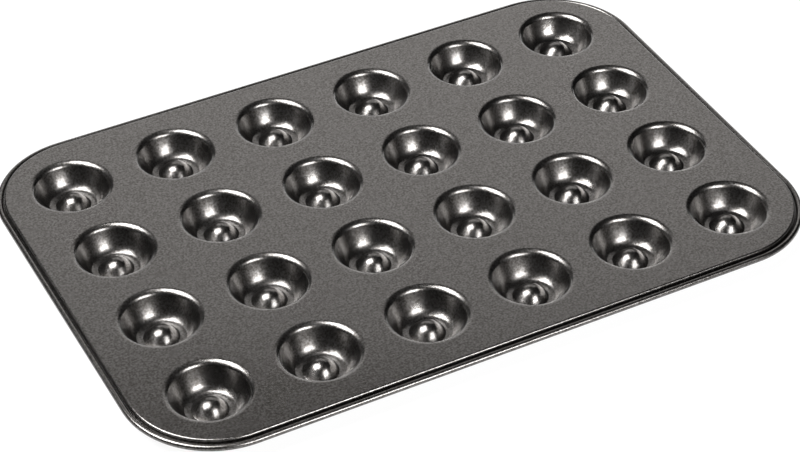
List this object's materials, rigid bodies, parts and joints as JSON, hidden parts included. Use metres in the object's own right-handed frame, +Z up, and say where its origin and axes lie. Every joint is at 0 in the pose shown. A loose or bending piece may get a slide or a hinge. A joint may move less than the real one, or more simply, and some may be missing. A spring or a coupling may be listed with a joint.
{
  "type": "muffin tin",
  "caption": "Rectangular mini muffin tin of dark non-stick coated steel: shallow round cups with a domed knob in each bottom, rounded corners and a wired rolled rim.",
  "frame": {"origin": "on the plane the cups stand on, under the middle of the tin", "axes": "+X along the tin's length, +Y across its width towards the back, +Z up, out of the cups' mouths"},
  "size_m": [0.385, 0.263, 0.0136],
  "materials": {
    "coating": "dark grey metallic non-stick coating, satin, with a fine speckle; glossier in the drawn cups",
    "wire": "bare drawn steel wire, hidden inside the rolled rim"
  },
  "bodies": {
    "root": {"deck": "coating", "cup_r1_c1": "coating", "cup_r1_c2": "coating", "cup_r1_c3": "coating", "cup_r1_c4": "coating", "cup_r1_c5": "coating", "cup_r1_c6": "coating", "cup_r2_c1": "coating", "cup_r2_c2": "coating", "cup_r2_c3": "coating", "cup_r2_c4": "coating", "cup_r2_c5": "coating", "cup_r2_c6": "coating", "cup_r3_c1": "coating", "cup_r3_c2": "coating", "cup_r3_c3": "coating", "cup_r3_c4": "coating", "cup_r3_c5": "coating", "cup_r3_c6": "coating", "cup_r4_c1": "coating", "cup_r4_c2": "coating", "cup_r4_c3": "coating", "cup_r4_c4": "coating", "cup_r4_c5": "coating", "cup_r4_c6": "coating", "rim_front": "coating", "rim_right": "coating", "rim_back": "coating", "rim_left": "coating", "rim_corner_front_right": "coating", "rim_corner_back_right": "coating", "rim_corner_back_left": "coating", "rim_corner_front_left": "coating", "rim_wire": "wire"}
  },
  "joints": []
}
